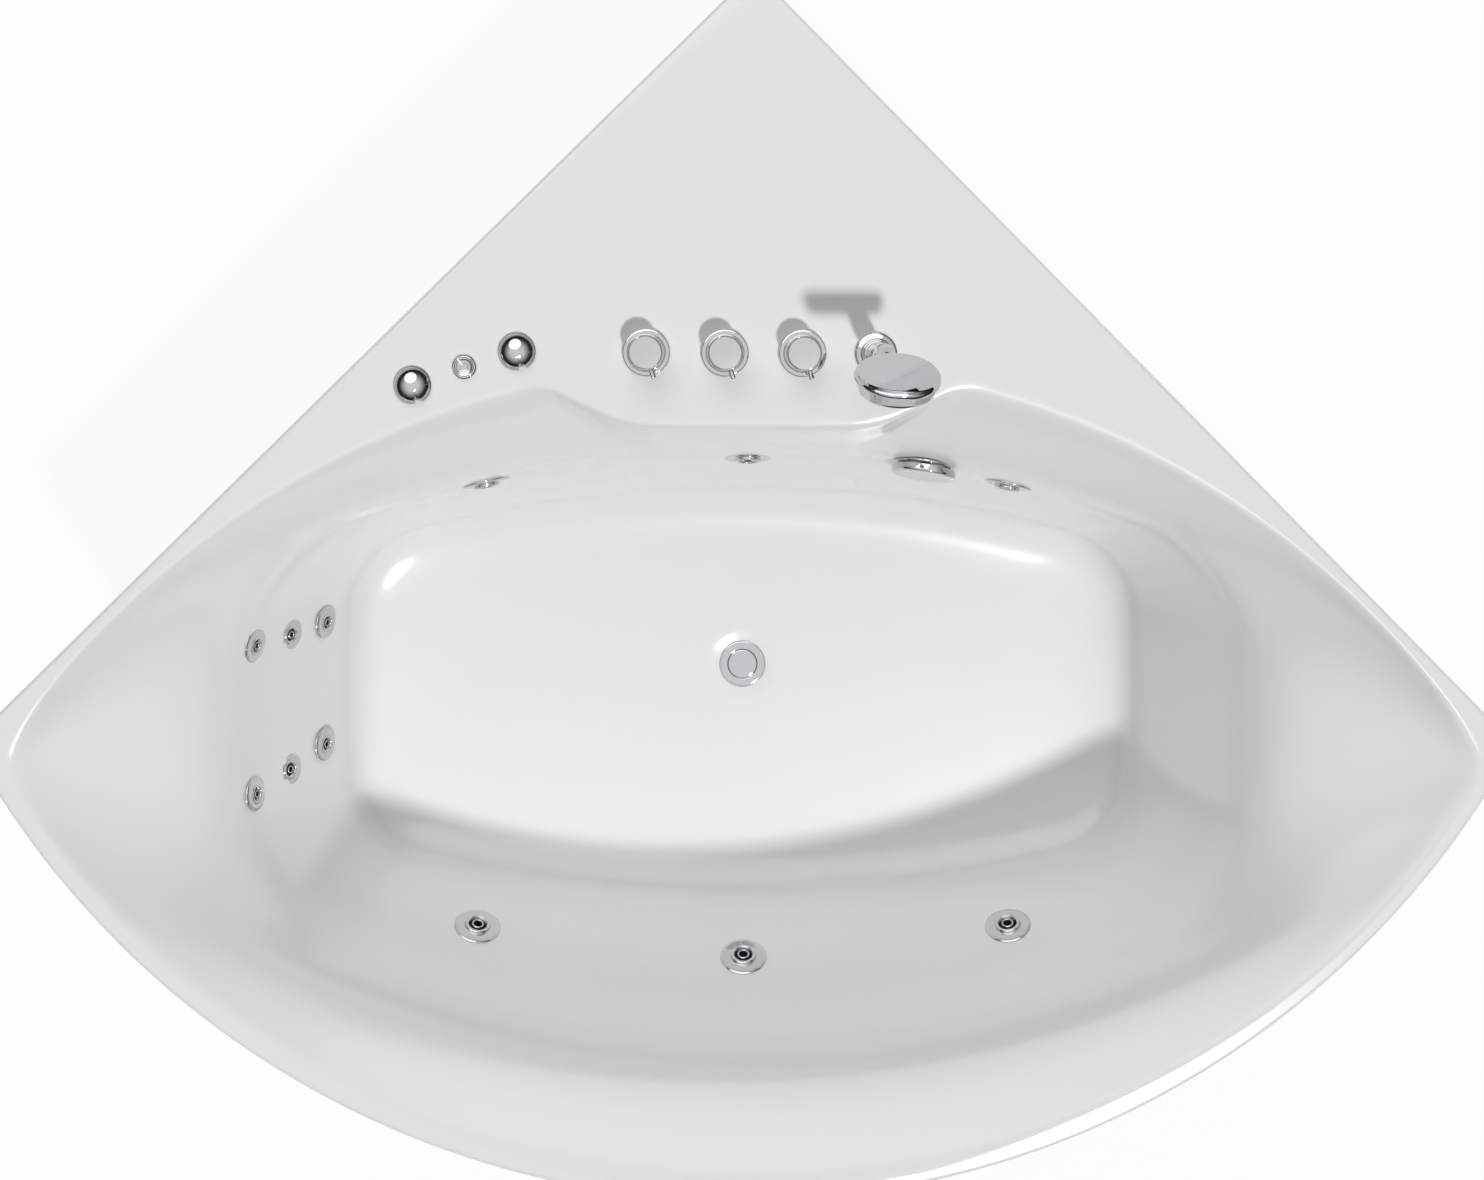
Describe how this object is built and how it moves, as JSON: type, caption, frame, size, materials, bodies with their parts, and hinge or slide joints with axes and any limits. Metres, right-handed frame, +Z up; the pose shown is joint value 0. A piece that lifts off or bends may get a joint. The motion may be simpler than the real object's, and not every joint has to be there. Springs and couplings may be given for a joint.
{
  "type": "corner jetted bathtub",
  "caption": "Corner jetted bathtub with a curved front, deck taps, pull-out hand shower, wall jets, overflow knob, pop-up waste, pump and steel frame.",
  "frame": {"origin": "on the floor, under the middle of the plan: half way between the two far rim corners and half way from the room corner to the front", "axes": "+Z up, +Y towards the room corner, +X to the right as the bather stands in front and looks at the corner"},
  "size_m": [1.9626, 1.57, 0.8316],
  "materials": {
    "acrylic": "polished",
    "black_plastic": "satin",
    "brass": "satin",
    "chrome": "polished",
    "frame_steel": "zinc plated",
    "grey_plastic": "satin",
    "motor_paint": "semi gloss",
    "rubber": "matte",
    "steel": "satin",
    "white_plastic": "satin",
    "wood_board": "raw chipboard"
  },
  "bodies": {
    "tub": {"air_valves": "white_plastic", "apron_brackets": "frame_steel", "apron_screws": "steel", "base_board": "wood_board", "button_bezel": "chrome", "deck_nuts": "brass", "deck_washers": "rubber", "drain_body": "white_plastic", "drain_flange": "chrome", "drain_gasket": "rubber", "drain_trap": "white_plastic", "foot_locknuts": "steel", "foot_pads": "rubber", "foot_studs": "steel", "frame_posts": "frame_steel", "frame_rails": "frame_steel", "front_apron": "acrylic", "jet_bodies": "white_plastic", "jet_rings": "chrome", "overflow_body": "white_plastic", "overflow_pipe": "white_plastic", "overflow_plate": "chrome", "pump_fan_cover": "black_plastic", "pump_foot": "black_plastic", "pump_motor": "motor_paint", "pump_terminal_box": "black_plastic", "pump_tray": "frame_steel", "pump_unions": "white_plastic", "pump_volute": "black_plastic", "shower_holder": "chrome", "side_jet_nozzles": "chrome", "tap_flanges": "chrome", "tap_valves": "brass", "tub_shell": "acrylic", "wall_gaskets": "rubber", "wall_nuts": "white_plastic"},
    "hot_tap": {"hot_tap_knob": "chrome", "hot_tap_spindle": "brass"},
    "cold_tap": {"cold_tap_knob": "chrome", "cold_tap_spindle": "brass"},
    "diverter_tap": {"diverter_tap_knob": "chrome", "diverter_tap_spindle": "brass"},
    "air_control_left": {"air_knob_left": "chrome"},
    "air_control_right": {"air_knob_right": "chrome"},
    "pump_button": {"air_button": "chrome", "button_bellows": "rubber"},
    "shower_guide": {"shower_guide_sleeve": "white_plastic"},
    "hand_shower": {"hand_shower": "chrome", "spray_plate": "grey_plastic", "shower_hose_nipple": "chrome"},
    "overflow_control": {"overflow_knob": "chrome"},
    "waste_plug": {"drain_plug": "chrome"},
    "jet_front_left": {"jet_nozzle_front_left": "chrome"},
    "jet_front_middle": {"jet_nozzle_front_middle": "chrome"},
    "jet_front_right": {"jet_nozzle_front_right": "chrome"},
    "jet_back_left": {"jet_nozzle_back_left": "chrome"},
    "jet_back_middle": {"jet_nozzle_back_middle": "chrome"},
    "jet_back_right": {"jet_nozzle_back_right": "chrome"}
  },
  "joints": [
    {"name": "hot_tap_turn", "type": "hinge", "parent": "tub", "child": "hot_tap", "pos_m": [-0.135, 0.30002, 0.6], "axis": [0, 0, 1], "range_deg": [0, 90]},
    {"name": "cold_tap_turn", "type": "hinge", "parent": "tub", "child": "cold_tap", "pos_m": [-0.035, 0.30002, 0.6], "axis": [0, 0, 1], "range_deg": [0, 90]},
    {"name": "diverter_tap_turn", "type": "hinge", "parent": "tub", "child": "diverter_tap", "pos_m": [0.064, 0.30002, 0.6], "axis": [0, 0, 1], "range_deg": [0, 90]},
    {"name": "air_control_left_turn", "type": "hinge", "parent": "tub", "child": "air_control_left", "pos_m": [-0.4315, 0.25652, 0.6], "axis": [0, 0, 1], "range_deg": [0, 180]},
    {"name": "air_control_right_turn", "type": "hinge", "parent": "tub", "child": "air_control_right", "pos_m": [-0.2995, 0.30002, 0.6], "axis": [0, 0, 1], "range_deg": [0, 180]},
    {"name": "pump_button_press", "type": "slide", "parent": "tub", "child": "pump_button", "axis": [0, 0, -1], "range_m": [0, 0.004], "stiffness_N_per_m": 500, "deforming": ["button_bellows"]},
    {"name": "shower_swivel", "type": "hinge", "parent": "tub", "child": "shower_guide", "pos_m": [0.158, 0.30002, 0.6], "axis": [0, 0, 1], "range_deg": [-90, 90]},
    {"name": "shower_lift", "type": "slide", "parent": "shower_guide", "child": "hand_shower", "axis": [0, 0, 1], "range_m": [0, 0.15]},
    {"name": "overflow_turn", "type": "hinge", "parent": "tub", "child": "overflow_control", "pos_m": [0.24124, 0.14955, 0.44967], "axis": [-0.1574, -0.9628, 0.2198], "range_deg": [0, 90]},
    {"name": "plug_lift", "type": "slide", "parent": "tub", "child": "waste_plug", "axis": [0, 0, 1], "range_m": [0, 0.0101]},
    {"name": "jet_front_left_aim", "type": "hinge", "parent": "tub", "child": "jet_front_left", "pos_m": [-0.38358, -0.5322, 0.32726], "axis": [0.9741, -0.2259, 0], "range_deg": [-12, 12]},
    {"name": "jet_front_middle_aim", "type": "hinge", "parent": "tub", "child": "jet_front_middle", "pos_m": [0, -0.57626, 0.32681], "axis": [1, 0, 0], "range_deg": [-12, 12]},
    {"name": "jet_front_right_aim", "type": "hinge", "parent": "tub", "child": "jet_front_right", "pos_m": [0.38358, -0.5322, 0.32726], "axis": [0.9741, 0.2259, 0], "range_deg": [-12, 12]},
    {"name": "jet_back_left_aim", "type": "hinge", "parent": "tub", "child": "jet_back_left", "pos_m": [-0.36277, 0.12575, 0.41903], "axis": [-0.9713, -0.2378, 0], "range_deg": [-12, 12]},
    {"name": "jet_back_middle_aim", "type": "hinge", "parent": "tub", "child": "jet_back_middle", "pos_m": [0, 0.16266, 0.41805], "axis": [-1, 0, 0], "range_deg": [-12, 12]},
    {"name": "jet_back_right_aim", "type": "hinge", "parent": "tub", "child": "jet_back_right", "pos_m": [0.36277, 0.12582, 0.41899], "axis": [-0.9713, 0.2377, 0], "range_deg": [-12, 12]}
  ],
  "couplings": [
    {"joint": "plug_lift", "follows": "overflow_turn", "m_per_rad": 0.0063662}
  ]
}
